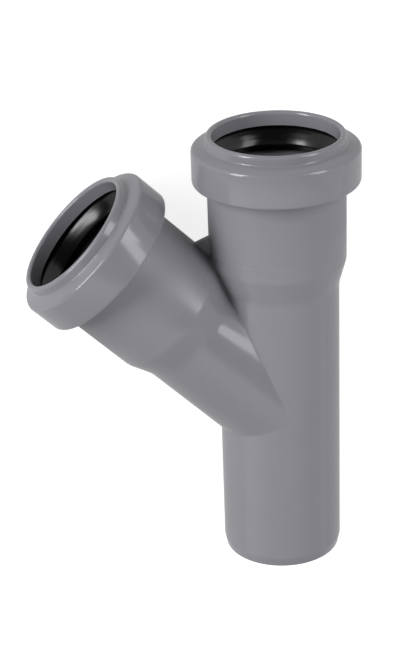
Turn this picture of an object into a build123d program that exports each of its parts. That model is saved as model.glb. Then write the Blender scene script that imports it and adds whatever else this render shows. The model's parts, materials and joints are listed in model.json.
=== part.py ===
from build123d import *
import os
from math import asin, atan2, cos, hypot, radians, sin

# A push-fit drain branch for 50 mm pipe: a moulded body with a plain spigot and two equal
# sockets, and a rubber lip ring in each socket. Lengths are in millimetres.
#
# The spigot's end is too narrow to carry the leaning branch, so the fitting lies as it comes to
# rest, on the beads of both sockets and on the spigot. +Z is up, +Y runs from the spigot to the
# straight socket, the branch leans towards -X, and the origin is under the middle of the box
# round the fitting.

# Driving dimensions of the body
pipe_radius = 25.0             # outside of the spigot, and of the pipe that a socket takes
pipe_wall = 1.8                # wall of spigot and branch pipe
branch_angle = 45.0            # branch axis to straight axis
spigot_length = 68.5           # spigot's end to the point where the axes cross
arm_length = 117.7             # crossing point to the mouth of either socket
chamfer_length = 4.0           # lead-in slope at the spigot's end, along the axis
chamfer_depth = 0.8            # and across it

socket_clearance = 0.5         # radial room between pipe and socket
socket_wall = 2.5
socket_depth = 53.4            # mouth to the stop cone
taper_length = 10.6            # outside cone from pipe up to socket
stop_inset = 1.0               # the inside cone is shorter by this at either end
collar_wall = 2.6              # wall of the mouth above the bead
collar_height = 4.0            # mouth to the foot of the collar
shoulder_drop = 1.5            # fall of the bead's sloping top
groove_room = 6.1              # groove beyond the socket bore, filled by the ring
bead_height = 14.2
bead_wall = 2.4                # wall of the bead round the groove
groove_depth_from_mouth = 5.6  # mouth to the groove's upper face
groove_height = 11.6

web_thickness = 2.4            # plate that ties the sockets together in the crotch
web_reach = 81.2               # crossing point to the plate's free edge

rim_round = 1.25
bead_round = 1.1
foot_round = 0.7
taper_round = 7.0

# Driving dimensions of the lip ring
ring_gap = 0.1                 # room outside and above the ring
ring_base = 2.2                # radial thickness of the ring's foot
ring_crown = 2.2               # thickness of the ring's top, where the lip starts
lip_setback = 0.9              # the lip starts this far outside the socket bore
lip_bite = 2.0                 # the free lip stands this far inside the pipe's radius
lip_depth = 13.3               # mouth to the lip's tip
lip_thickness = 1.3
tip_width = 0.8                # width of the lip's rounded tip
lip_round = 0.45
ring_round = 1.0

# Radii, and distances along an arm from the crossing point
socket_bore = pipe_radius + socket_clearance
socket_radius = socket_bore + socket_wall
collar_radius = socket_bore + collar_wall
pipe_bore = pipe_radius - pipe_wall
groove_radius = socket_bore + groove_room
bead_radius = groove_radius + bead_wall
lip_radius = pipe_radius - lip_bite
rim_fillet = min(rim_round, 0.48 * collar_wall)
taper_end = arm_length - socket_depth
taper_start = taper_end - taper_length
bead_end = arm_length - collar_height - shoulder_drop
bead_start = bead_end - bead_height
groove_end = arm_length - groove_depth_from_mouth
groove_start = groove_end - groove_height
half_angle = radians(branch_angle / 2)


def turned(corners):
    """Solid of revolution about Z from (radius, height, rounding) corners."""
    line = FilletPolyline([(radius, 0, height) for radius, height, _ in corners],
                          radius=[rounding for _, _, rounding in corners], close=True)
    return revolve(make_face(line), Axis.Z)


def on_branch(shape):
    """Turn a shape made along the straight axis onto the branch."""
    return Rot(0, -branch_angle, 0) * shape


# Outside of an arm: pipe, soft cone, socket, bead with its sloping shoulder, rounded collar
def arm_outside(pipe_end):
    return turned(pipe_end + [
        (pipe_radius, taper_start, taper_round),
        (socket_radius, taper_end, taper_round),
        (socket_radius, bead_start, foot_round),
        (bead_radius, bead_start, bead_round),
        (bead_radius, bead_end, bead_round),
        (collar_radius, bead_end + shoulder_drop, foot_round),
        (collar_radius, arm_length, rim_fillet),
        (0, arm_length, 0)])


# Passage of an arm: pipe bore, stop cone, socket bore, groove for the ring, rounded mouth
def arm_passage(start):
    beyond = arm_length + collar_wall
    middle_of_rim = socket_bore + collar_wall / 2
    return turned([
        (0, start, 0),
        (pipe_bore, start, 0),
        (pipe_bore, taper_start + stop_inset, 0),
        (socket_bore, taper_end - stop_inset, 0),
        (socket_bore, groove_start, 0),
        (groove_radius, groove_start, 0),
        (groove_radius, groove_end, 0),
        (socket_bore, groove_end, 0),
        (socket_bore, arm_length, rim_fillet),
        (middle_of_rim, arm_length, 0),
        (middle_of_rim, beyond, 0),
        (0, beyond, 0)])


# Plate in the crotch: its free edge is square to the line that halves the branch angle, and its
# other two edges end inside the walls
def crotch_web():
    inside_wall = socket_bore + socket_wall / 2
    half_edge = (web_reach * sin(half_angle) - inside_wall) / cos(half_angle)
    crotch = pipe_radius / sin(half_angle)
    face = make_face(Polyline([(-half_edge, 0, web_reach), (half_edge, 0, web_reach),
                               (0, 0, crotch)], close=True))
    plate = extrude(face, amount=web_thickness / 2, dir=(0, 1, 0), both=True)
    return Rot(0, -branch_angle / 2, 0) * plate


def fitting_body():
    spigot = [(0, -spigot_length, 0),
              (pipe_radius - chamfer_depth, -spigot_length, 0),
              (pipe_radius, chamfer_length - spigot_length, 0)]
    run = arm_outside(spigot)
    branch = on_branch(arm_outside([(0, 0, 0), (pipe_radius, 0, 0)]))
    passages = arm_passage(-spigot_length - chamfer_length) + on_branch(arm_passage(0))
    return run + branch + crotch_web() - passages


# Lip ring: the foot stands on the groove's lower face, and the lip funnels down the socket to
# less than the pipe's radius
def lip_ring():
    outer = groove_radius - ring_gap
    foot = outer - ring_base
    top = groove_end - ring_gap
    root = socket_bore + lip_setback
    tip = arm_length - lip_depth
    return turned([
        (outer, groove_start, 0),
        (outer, top, 0),
        (root, top, lip_round),
        (root - lip_setback / 2, top - lip_thickness, ring_round),
        (lip_radius, tip + lip_round, lip_round),
        (lip_radius + tip_width, tip, lip_round),
        (root + lip_thickness, top - ring_crown, ring_round),
        (foot, top - ring_crown, 0),
        (foot, groove_start, 0)])


# How it rests: the plane under both beads and the spigot is turned to be the floor. The straight
# axis then dips by the angle at which bead corner and spigot reach equally far down.
corner_radius = bead_radius - bead_round
corner_ahead = bead_start + bead_round + spigot_length - chamfer_length
span = hypot(corner_ahead, corner_radius - pipe_radius)
dip = atan2(corner_radius - pipe_radius, corner_ahead) + asin(bead_round / span)
roll = asin(sin(dip) / cos(half_angle))
down = Vector(sin(roll) * sin(half_angle), cos(roll), -sin(roll) * cos(half_angle))
height = pipe_radius * cos(dip) + (spigot_length - chamfer_length) * sin(dip)
along = Vector(0, 0, 1) + down * sin(dip)
floor = Plane(origin=down * height, x_dir=down.cross(along), z_dir=down * -1)

body = floor.to_local_coords(fitting_body())
ring = lip_ring()
box = body.bounding_box()
centred = Pos(-box.center().X, -box.center().Y, 0)

os.makedirs("parts", exist_ok=True)
export_step(centred * body, "parts/fitting_body.step")
export_step(centred * floor.to_local_coords(ring), "parts/run_socket_seal.step")
export_step(centred * floor.to_local_coords(on_branch(ring)), "parts/branch_socket_seal.step")
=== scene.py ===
"""A 45 degree push-fit drain branch in grey polypropylene, with a black lip ring in each socket."""

import json
from math import cos, pi, radians, sin, tan

import bmesh
import bpy
from mathutils import Matrix, Vector


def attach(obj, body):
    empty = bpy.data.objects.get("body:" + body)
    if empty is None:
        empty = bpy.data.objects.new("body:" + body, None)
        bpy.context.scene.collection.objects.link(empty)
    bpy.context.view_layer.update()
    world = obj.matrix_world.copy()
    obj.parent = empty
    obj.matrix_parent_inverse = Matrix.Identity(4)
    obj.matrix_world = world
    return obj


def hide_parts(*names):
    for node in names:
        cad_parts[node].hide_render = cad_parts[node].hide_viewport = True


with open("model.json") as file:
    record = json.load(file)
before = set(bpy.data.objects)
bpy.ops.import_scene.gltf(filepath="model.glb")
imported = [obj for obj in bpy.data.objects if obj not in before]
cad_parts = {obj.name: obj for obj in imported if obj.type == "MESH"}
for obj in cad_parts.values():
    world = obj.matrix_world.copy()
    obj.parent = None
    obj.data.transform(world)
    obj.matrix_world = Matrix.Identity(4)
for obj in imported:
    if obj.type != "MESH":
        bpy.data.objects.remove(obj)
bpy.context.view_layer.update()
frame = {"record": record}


# ------------------------------------------------------------------------------------------
# The body. One thin-walled injection moulding in grey polypropylene: a plain spigot, a socket
# in line and a socket on the branch, both with the same bead round the ring's groove, and a
# plate that ties the sockets together in the crotch.
# ------------------------------------------------------------------------------------------

# Where it lies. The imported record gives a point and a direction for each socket. The two axes
# cross inside the body, and every piece is turned on the straight axis, in millimetres, and
# then placed from that crossing point.
mounts = {mount["name"]: mount for mount in frame["record"]["mounts"]}
run_axis = Vector(mounts["run_socket"]["axis"]).normalized()
branch_axis = Vector(mounts["branch_socket"]["axis"]).normalized()
run_mouth = Vector(mounts["run_socket"]["pos_m"])
branch_mouth = Vector(mounts["branch_socket"]["pos_m"])
branch_angle = run_axis.angle(branch_axis)

between = run_mouth - branch_mouth
lean = run_axis.dot(branch_axis)
along_run = (lean * branch_axis.dot(between) - run_axis.dot(between)) / (1 - lean * lean)
crossing = run_mouth + run_axis * along_run

side_axis = ((run_axis * cos(branch_angle) - branch_axis) / sin(branch_angle)).normalized()
front_axis = run_axis.cross(side_axis)
millimetre = 0.001
turned_over = Matrix((side_axis, front_axis, run_axis)).transposed().to_4x4()
placed = Matrix.Translation(crossing) @ turned_over @ Matrix.Scale(millimetre, 4)
onto_branch = Matrix.Rotation(-branch_angle, 4, "Y")

# Radii, and heights along an arm from the crossing point, in millimetres.
pipe_radius = 25.0
pipe_bore = 23.2
spigot_end = -68.5
spigot_lead = -64.5
lead_radius = 24.2
socket_radius = 28.0
socket_bore = 25.5
groove_radius = 31.6
bead_radius = 34.0
collar_radius = 28.1
taper_foot = 53.7
taper_top = 64.3
stop_inset = 1.0
bead_foot = 98.0
bead_top = 112.2
collar_foot = 113.7
mouth = 117.7
rim_round = 1.248
groove_foot = 99.5
groove_top = 111.7
below_crossing = -30.0
around = 240
same_point = 0.0005


def rounded(shape, parts, offset, segments, affect):
    """Round corners or edges of a shape."""
    bmesh.ops.bevel(shape, geom=parts, offset=offset, offset_type="OFFSET", segments=segments,
                    profile=0.5, affect=affect, clamp_overlap=False, material=-1)


def turned(corners, closed):
    """A shape turned on the straight axis from (radius, height, rounding, segments) corners."""
    shape = bmesh.new()
    points = [shape.verts.new((radius, 0, height)) for radius, height, _, _ in corners]
    links = list(zip(points, points[1:]))
    if closed:
        links.append((points[-1], points[0]))
    for start, end in links:
        shape.edges.new((start, end))
    for point, (_, _, rounding, segments) in zip(points, corners):
        if rounding:
            ahead, back = [edge.other_vert(point).co - point.co for edge in point.link_edges]
            slide = rounding / tan(ahead.angle(back) / 2)
            rounded(shape, [point], slide, segments, "VERTICES")
    bmesh.ops.spin(shape, geom=shape.verts[:] + shape.edges[:], cent=(0, 0, 0),
                   axis=(0, 0, 1), angle=2 * pi, steps=around, use_merge=True)
    bmesh.ops.remove_doubles(shape, verts=shape.verts, dist=same_point)
    bmesh.ops.recalc_face_normals(shape, faces=shape.faces)
    return shape


def made(name, shape):
    """The object of a finished shape."""
    mesh = bpy.data.meshes.new(name)
    shape.to_mesh(mesh)
    shape.free()
    piece = bpy.data.objects.new(name, mesh)
    bpy.context.scene.collection.objects.link(piece)
    return piece


socket_outside = [
    (pipe_radius, taper_foot, 14.0, 8),
    (socket_radius, taper_top, 9.0, 8),
    (socket_radius, bead_foot, 0.7, 4),
    (bead_radius, bead_foot, 1.1, 6),
    (bead_radius, bead_top, 1.5, 8),
    (collar_radius, collar_foot, 0.7, 4),
    (collar_radius, mouth, rim_round, 7),
]
socket_inside = [
    (socket_bore, mouth, rim_round, 7),
    (socket_bore, groove_top, 0.12, 2),
    (groove_radius, groove_top, 0, 0),
    (groove_radius, groove_foot, 0, 0),
    (socket_bore, groove_foot, 0.12, 2),
    (socket_bore, taper_top - stop_inset, 3.0, 3),
    (pipe_bore, taper_foot + stop_inset, 3.0, 3),
]
spigot = [
    (pipe_bore, spigot_end, 0.15, 2),
    (lead_radius, spigot_end, 0.2, 3),
    (pipe_radius, spigot_lead, 0.6, 3),
]
run = turned(spigot + socket_outside + socket_inside, True)
branch = turned([(pipe_radius, below_crossing, 0, 0)] + socket_outside + socket_inside
                + [(pipe_bore, below_crossing, 0, 0)], False)
bmesh.ops.transform(branch, matrix=onto_branch, verts=branch.verts)

# The walls of the two arms are alike, so they meet in the two planes that halve the angles
# between the axes. Both are cut there and joined edge to edge.
half = branch_angle / 2
toward_run = Vector((cos(half), 0, sin(half)))
toward_mouths = Vector((-sin(half), 0, cos(half)))
near = 0.0002
seam_gap = 0.002
for plane, clear in ((toward_run, {"clear_outer": True}), (toward_mouths, {"clear_inner": True})):
    bmesh.ops.bisect_plane(branch, geom=branch.verts[:] + branch.edges[:] + branch.faces[:],
                           dist=near, plane_co=(0, 0, 0), plane_no=plane, **clear)
for plane in (toward_run, toward_mouths):
    bmesh.ops.bisect_plane(run, geom=run.verts[:] + run.edges[:] + run.faces[:],
                           dist=near, plane_co=(0, 0, 0), plane_no=plane)
inside_branch = [face for face in run.faces
                 if face.calc_center_median().dot(toward_run) < -near
                 and face.calc_center_median().dot(toward_mouths) > near]
bmesh.ops.delete(run, geom=inside_branch, context="FACES")
branch_mesh = bpy.data.meshes.new("branch_arm")
branch.to_mesh(branch_mesh)
branch.free()
run.from_mesh(branch_mesh)
bpy.data.meshes.remove(branch_mesh)
bmesh.ops.remove_doubles(run, verts=run.verts, dist=seam_gap)

# A hair of a fillet runs along the outer crease.
touching = 0.01
least_fold = radians(8)
crease_round = 0.45


def on_crease(edge):
    """Whether an edge is where the outsides of the two arms meet."""
    ends = [vert.co for vert in edge.verts]
    return (len(edge.link_faces) == 2 and edge.calc_face_angle() > least_fold
            and all(end.dot(toward_run) < touching and end.dot(toward_mouths) > -touching
                    for end in ends)
            and any(all(abs(end.dot(plane)) < touching for end in ends)
                    for plane in (toward_run, toward_mouths))
            and Vector(ends[0].xy).length > pipe_radius - 0.1)


rounded(run, [edge for edge in run.edges if on_crease(edge)], crease_round, 4, "EDGES")
body = made("fitting_body_plastic", run)

# The plate in the crotch, with its free edge square to the line that halves the angle and its
# other two edges inside the walls.
web_thickness = 2.4
web_reach = 81.2
web_root = pipe_radius / sin(half) - 0.6
web_root_half = 0.01
web_edge_round = 0.4
inside_wall = (socket_bore + socket_radius) / 2
web_half_edge = (web_reach * sin(half) - inside_wall) / cos(half)
web = bmesh.new()
web_corners = [web.verts.new((across, web_thickness / 2, up)) for across, up in
               ((-web_half_edge, web_reach), (web_half_edge, web_reach),
                (web_root_half, web_root), (-web_root_half, web_root))]
web_face = web.faces.new(web_corners)
web_solid = bmesh.ops.extrude_face_region(web, geom=[web_face])["geom"]
bmesh.ops.translate(web, vec=(0, -web_thickness, 0),
                    verts=[part for part in web_solid if isinstance(part, bmesh.types.BMVert)])
free_edges = [edge for edge in web.edges
              if all(abs(vert.co.z - web_reach) < touching for vert in edge.verts)
              and abs(edge.verts[0].co.y - edge.verts[1].co.y) < touching]
rounded(web, free_edges, web_edge_round, 3, "EDGES")
bmesh.ops.transform(web, matrix=Matrix.Rotation(-half, 4, "Y"), verts=web.verts)
bmesh.ops.recalc_face_normals(web, faces=web.faces)
web_plate = made("web", web)
join = body.modifiers.new("web", "BOOLEAN")
join.operation = "UNION"
join.solver = "EXACT"
join.object = web_plate
bpy.context.view_layer.update()
joined = body.evaluated_get(bpy.context.evaluated_depsgraph_get())
whole_mesh = bpy.data.meshes.new_from_object(joined)
parts = (body.data, web_plate.data)
body.modifiers.clear()
body.data = whole_mesh
bpy.data.objects.remove(web_plate)
for part in parts:
    bpy.data.meshes.remove(part)


def smooth(mesh, sharp_angle, axes=(), radii=()):
    """Smooth shading up to an angle, and true round walls where other faces cut into them."""
    on_radius = 0.001
    least_facing = 0.98
    widest_blend = radians(24)
    mesh.shade_smooth()
    mesh.set_sharp_from_angle(angle=sharp_angle)
    if not axes:
        return
    normals = [Vector(corner.vector) for corner in mesh.corner_normals]
    on_wall = {}
    others = []
    for face in mesh.polygons:
        best = least_facing
        found = None
        for axis in axes:
            spokes = []
            for index in face.vertices:
                point = mesh.vertices[index].co
                spokes.append(point - axis * point.dot(axis))
            if all(min(abs(spoke.length - radius) for radius in radii) < on_radius
                   for spoke in spokes):
                facing = abs(face.normal.dot(sum(spokes, Vector()).normalized()))
                if facing > best:
                    best = facing
                    found = spokes
        if found is None:
            others.append(face)
            continue
        for loop, index, spoke in zip(face.loop_indices, face.vertices, found):
            out = spoke.normalized()
            if face.normal.dot(out) < 0:
                out = -out
            normals[loop] = out
            on_wall.setdefault(index, []).append(out)
    for face in others:
        for loop, index in zip(face.loop_indices, face.vertices):
            nearest = max(on_wall.get(index, ()), key=face.normal.dot, default=None)
            if nearest and face.normal.dot(nearest) > cos(widest_blend):
                normals[loop] = nearest
    mesh.normals_split_custom_set(normals)


arm_axes = (Vector((0, 0, 1)), Vector((-sin(branch_angle), 0, cos(branch_angle))))
smooth(body.data, radians(32), arm_axes, (pipe_radius, socket_radius, pipe_bore, socket_bore))
body.data.transform(placed)


class Wire:
    """A value between a material's nodes, so that shader maths reads as an expression."""

    def __init__(self, tree, socket=None):
        self.tree = tree
        self.socket = socket

    def node(self, kind, settings=(), output=0, **inputs):
        """Adds a node: settings first, then its sockets by name, or by number as in _0."""
        added = self.tree.nodes.new("ShaderNode" + kind)
        for name, value in dict(settings).items():
            if name == "stops":
                ramp = added.color_ramp
                while len(ramp.elements) < len(value):
                    ramp.elements.new(1.0)
                for stop, (position, colour) in zip(ramp.elements, value):
                    stop.position = position
                    stop.color = colour
            else:
                setattr(added, name, value)
        for name, value in inputs.items():
            key = int(name[1:]) if name[0] == "_" else name.replace("_", " ")
            target = added.inputs[key]
            if isinstance(value, Wire):
                self.tree.links.new(value.socket, target)
            else:
                target.default_value = value
        return Wire(self.tree, added.outputs[output])

    def maths(self, operation, first, second=0.0):
        return self.node("Math", {"operation": operation}, _0=first, _1=second)

    def __add__(self, other):
        return self.maths("ADD", self, other)

    def __sub__(self, other):
        return self.maths("SUBTRACT", self, other)

    def __rsub__(self, other):
        return self.maths("SUBTRACT", other, self)

    def __mul__(self, other):
        return self.maths("MULTIPLY", self, other)

    __radd__ = __add__
    __rmul__ = __mul__


def finish_of(name):
    """A new material, its shader node and a starting wire."""
    material = bpy.data.materials.new(name)
    material.use_nodes = True
    shader = material.node_tree.nodes["Principled BSDF"]
    return material, shader, Wire(material.node_tree)


def feed(wire, shader, name):
    """Link a wire to a socket of the shader."""
    wire.tree.links.new(wire.socket, shader.inputs[name])


def mixed(factor, first, second):
    """Two colours mixed."""
    return factor.node("Mix", {"data_type": "RGBA"}, output=2, _0=factor, _6=first, _7=second)


def dot(wire, vector):
    """How far a point or direction goes along a vector."""
    return wire.node("VectorMath", {"operation": "DOT_PRODUCT"}, output="Value",
                     _0=wire, _1=vector)


def larger(first, second):
    """The larger of two values."""
    return first.maths("MAXIMUM", first, second)


def spread(wire, low, high, first, last):
    """A value that goes from first to last while the wire goes from low to high."""
    return wire.node("MapRange", Value=wire, From_Min=low, From_Max=high,
                     To_Min=first, To_Max=last)


def up_the_arm(place):
    """How far up either arm a point is, in metres from the crossing point."""
    from_crossing = place.node("VectorMath", {"operation": "SUBTRACT"}, _0=place, _1=crossing)
    return larger(dot(from_crossing, run_axis), dot(from_crossing, branch_axis))


# Grey polypropylene straight from a polished mould: slight flow marks in colour and gloss, a
# duller land between cone and bead, and a faint unevenness that breaks the lamps' reflections.
darker_grey = (0.235, 0.2305, 0.2565, 1)
lighter_grey = (0.265, 0.2595, 0.2875, 1)
dull_from = taper_top - 3
dull_at = 82.0
dull_until = bead_foot - 0.8
plastic, shader, start = finish_of("grey_polypropylene")
place = start.node("TexCoord", output="Object")
flow = start.node("TexNoise", Vector=place, Scale=28.0, Detail=3.0, Roughness=0.55)
grain = start.node("TexNoise", Vector=place, Scale=900.0, Detail=2.0, Roughness=0.6)
ripple = start.node("TexNoise", Vector=place, Scale=110.0, Detail=2.0, Roughness=0.5)
feed(mixed(flow, darker_grey, lighter_grey), shader, "Base Color")
up_arm = up_the_arm(place) * (1 / millimetre)
dull = (spread(up_arm, dull_from, dull_at, 0.0, 1.0)
        * spread(up_arm, dull_until, bead_foot, 1.0, 0.0))
feed(0.11 + dull * 0.32 + flow * 0.04 + grain * 0.02, shader, "Roughness")
unevenness = ripple * 0.9 + grain * 0.1
feed(start.node("Bump", Strength=0.1, Distance=0.0004, Height=unevenness), shader, "Normal")
shader.inputs["IOR"].default_value = 1.49

body.data.materials.append(plastic)
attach(body, "root")
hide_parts("fitting_body")


# ------------------------------------------------------------------------------------------
# The lip rings. A black moulded rubber ring sits in each groove: a square foot against the
# groove's wall, a crown under the mouth, and a lip that funnels the pipe in and wipes it.
# ------------------------------------------------------------------------------------------
ring_outer = 31.5
ring_foot = 29.6
ring_top = 111.6
lip_root = 28.1
lip_radius = 22.75
lip_tip = 104.1
ring_corners = [
    (ring_outer, groove_foot, 0.15, 2),
    (ring_outer, ring_top, 0.15, 2),
    (lip_root, ring_top, 0.35, 4),
    (lip_root - 0.4, ring_top - 0.8, 0.6, 4),
    (lip_radius + 2.9, lip_tip + 4.5, 10.0, 6),
    (lip_radius + 1.2, lip_tip + 2.3, 10.0, 6),
    (lip_radius, lip_tip + 0.4, 0.35, 4),
    (lip_radius + 0.8, lip_tip, 0.35, 4),
    (lip_radius + 3.7, lip_tip + 3.6, 3.0, 5),
    (lip_root + 0.9, ring_top - 3.0, 0.6, 4),
    (ring_foot, ring_top - 4.0, 0.5, 3),
    (ring_foot, groove_foot, 0.15, 2),
]

# Black rubber with fine rings from the mould, light scuffs and a slight bloom.
clean_black = (0.0015, 0.0015, 0.0015, 1)
bloomed_black = (0.004, 0.004, 0.0038, 1)
rubber, shader, start = finish_of("black_lip_rubber")
place = start.node("TexCoord", output="Object")
rings = start.node("TexNoise", {"noise_dimensions": "1D"}, W=up_the_arm(place), Scale=2600.0,
                   Detail=2.0, Roughness=0.6)
scuff = start.node("TexNoise", Vector=place, Scale=700.0, Detail=3.0, Roughness=0.6)
bloom = start.node("TexNoise", Vector=place, Scale=60.0, Detail=2.0, Roughness=0.5)
feed(mixed(bloom, clean_black, bloomed_black), shader, "Base Color")
feed(0.15 + scuff * 0.08 + bloom * 0.05, shader, "Roughness")
feed(start.node("Bump", Strength=0.12, Distance=0.00012, Height=rings + scuff * 0.25),
     shader, "Normal")
shader.inputs["Specular IOR Level"].default_value = 0.42

for name, turn in (("run_socket_seal", Matrix.Identity(4)), ("branch_socket_seal", onto_branch)):
    ring = turned(ring_corners, True)
    bmesh.ops.transform(ring, matrix=turn, verts=ring.verts)
    lip_ring = made(name + "_rubber", ring)
    smooth(lip_ring.data, radians(40))
    lip_ring.data.transform(placed)
    lip_ring.data.materials.append(rubber)
    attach(lip_ring, "root")
    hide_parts(name)


# ------------------------------------------------------------------------------------------
# The table under the fitting: a plain matt white sheet that keeps the fitting's soft shadow.
# The camera sees it pale, and reflections see it half as pale.
# ------------------------------------------------------------------------------------------
table_half = 3.0
reflected_share = 0.5
table = bmesh.new()
bmesh.ops.create_grid(table, x_segments=1, y_segments=1, size=table_half)
white_table = made("white_table", table)
sheet, shader, start = finish_of("white_table_top")
sheet.node_tree.nodes.remove(shader)
to_camera = start.node("LightPath", output="Is Camera Ray")
to_gloss = start.node("LightPath", output="Is Glossy Ray")
to_clear = start.node("LightPath", output="Is Transmission Ray")
lit = start.node("BsdfDiffuse", Color=(0.2, 0.2, 0.2, 1))
seen = start.node("AddShader", _0=start.node("BsdfDiffuse", Color=(0.42, 0.42, 0.42, 1)),
                  _1=start.node("Emission", Color=(1, 1, 1, 1), Strength=0.84))
surface = start.node("MixShader", _0=to_camera + reflected_share * (to_gloss + to_clear),
                     _1=lit, _2=seen)
feed(surface, sheet.node_tree.nodes["Material Output"], "Surface")
white_table.data.materials.append(sheet)


# ------------------------------------------------------------------------------------------
# The studio: a dim room with a pale wall at the spigot's end, a tall softbox to the left of
# the camera, and to its right a narrow one with a wider one above it.
# ------------------------------------------------------------------------------------------
eye = Vector((-0.0882487, 0.3094240, 0.7553110))
eye_right = Vector((0.98923570, -0.04001003, 0.14075449))
eye_up = Vector((0.08985657, 0.92527159, -0.36850819))
eye_back = Vector((-0.11549211, 0.37718919, 0.9189069))
middle = Vector((0.0, 0.0, 0.03))

# Directions seen from the fitting: towards the camera, to its right, and along the straight arm.
ahead = (eye_back - run_axis * eye_back.dot(run_axis)).normalized()
rightward = run_axis.cross(ahead).normalized()


def aimed(turn, rise):
    """A direction turned to the right of the camera and raised along the straight arm."""
    level = ahead * cos(turn) + rightward * sin(turn)
    return level * cos(rise) + run_axis * sin(rise)


world = bpy.data.worlds.new("studio")
world.use_nodes = True
bpy.context.scene.world = world
start = Wire(world.node_tree)
background = world.node_tree.nodes["Background"]
direction = start.node("TexCoord", output="Generated")
to_right = dot(direction, rightward)
table_side = start.node("ValToRGB", {"stops": [(0.08, (0.66, 0.66, 0.66, 1)),
                                               (0.105, (0.88, 0.88, 0.88, 1)),
                                               (0.3, (0.62, 0.62, 0.62, 1)),
                                               (0.9, (0.62, 0.62, 0.62, 1))]},
                        Fac=to_right * 0.5 + 0.5)
spigot_wall = start.node("ValToRGB", {"stops": [(0.26, (0, 0, 0, 1)), (0.405, (1, 1, 1, 1)),
                                                (0.47, (1, 1, 1, 1)),
                                                (0.85, (0.65, 0.65, 0.65, 1))]},
                         Fac=dot(direction, -run_axis)) * table_side * 1.5
right_wall = spread(to_right, 0.62, 0.84, 0.0, 0.85)
front_fill = spread(dot(direction, aimed(0, radians(15))), 0.86, 0.97, 0.0, 0.25)
left_glow = spread(dot(direction, aimed(radians(-60), radians(27))), 0.86, 0.96, 0.0, 1.2)
dimmest = 0.04
room = larger(larger(larger(spigot_wall, right_wall), front_fill), left_glow) + dimmest
to_camera = start.node("LightPath", output="Is Camera Ray")
feed(room * (1 - to_camera) + to_camera, background, "Strength")
background.inputs["Color"].default_value = (1, 1, 1, 1)


def softbox(name, turn, low, high, across, brightness, distance=1.3):
    """A lamp that faces the fitting, turned and raised from the camera by angles."""
    watts_per_square_metre = 4 * brightness
    toward = aimed(turn, (low + high) / 2)
    sideways = run_axis.cross(toward).normalized()
    upwards = toward.cross(sideways)
    lamp = bpy.data.lights.new(name, "AREA")
    lamp.shape = "RECTANGLE"
    lamp.size = 2 * distance * tan(across / 2)
    lamp.size_y = 2 * distance * tan((high - low) / 2)
    lamp.energy = watts_per_square_metre * lamp.size * lamp.size_y
    holder = bpy.data.objects.new(name, lamp)
    holder.matrix_world = (Matrix.Translation(middle + toward * distance)
                           @ Matrix((sideways, upwards, toward)).transposed().to_4x4())
    bpy.context.scene.collection.objects.link(holder)


softbox("right_low_softbox", radians(57.5), radians(4), radians(20), radians(14), 3.1)
softbox("right_high_softbox", radians(59.5), radians(20), radians(50), radians(20), 3.7)
softbox("left_softbox", radians(-55.5), radians(5), radians(44.5), radians(17), 8.1)

camera = bpy.data.cameras.new("camera")
camera.lens = 106.147
camera.sensor_width = 36.0
camera.sensor_fit = "AUTO"
camera.clip_start = 0.05
viewer = bpy.data.objects.new("camera", camera)
viewer.matrix_world = (Matrix.Translation(eye)
                       @ Matrix((eye_right, eye_up, eye_back)).transposed().to_4x4())
bpy.context.scene.collection.objects.link(viewer)
bpy.context.scene.camera = viewer
bpy.context.scene.view_settings.view_transform = "Standard"
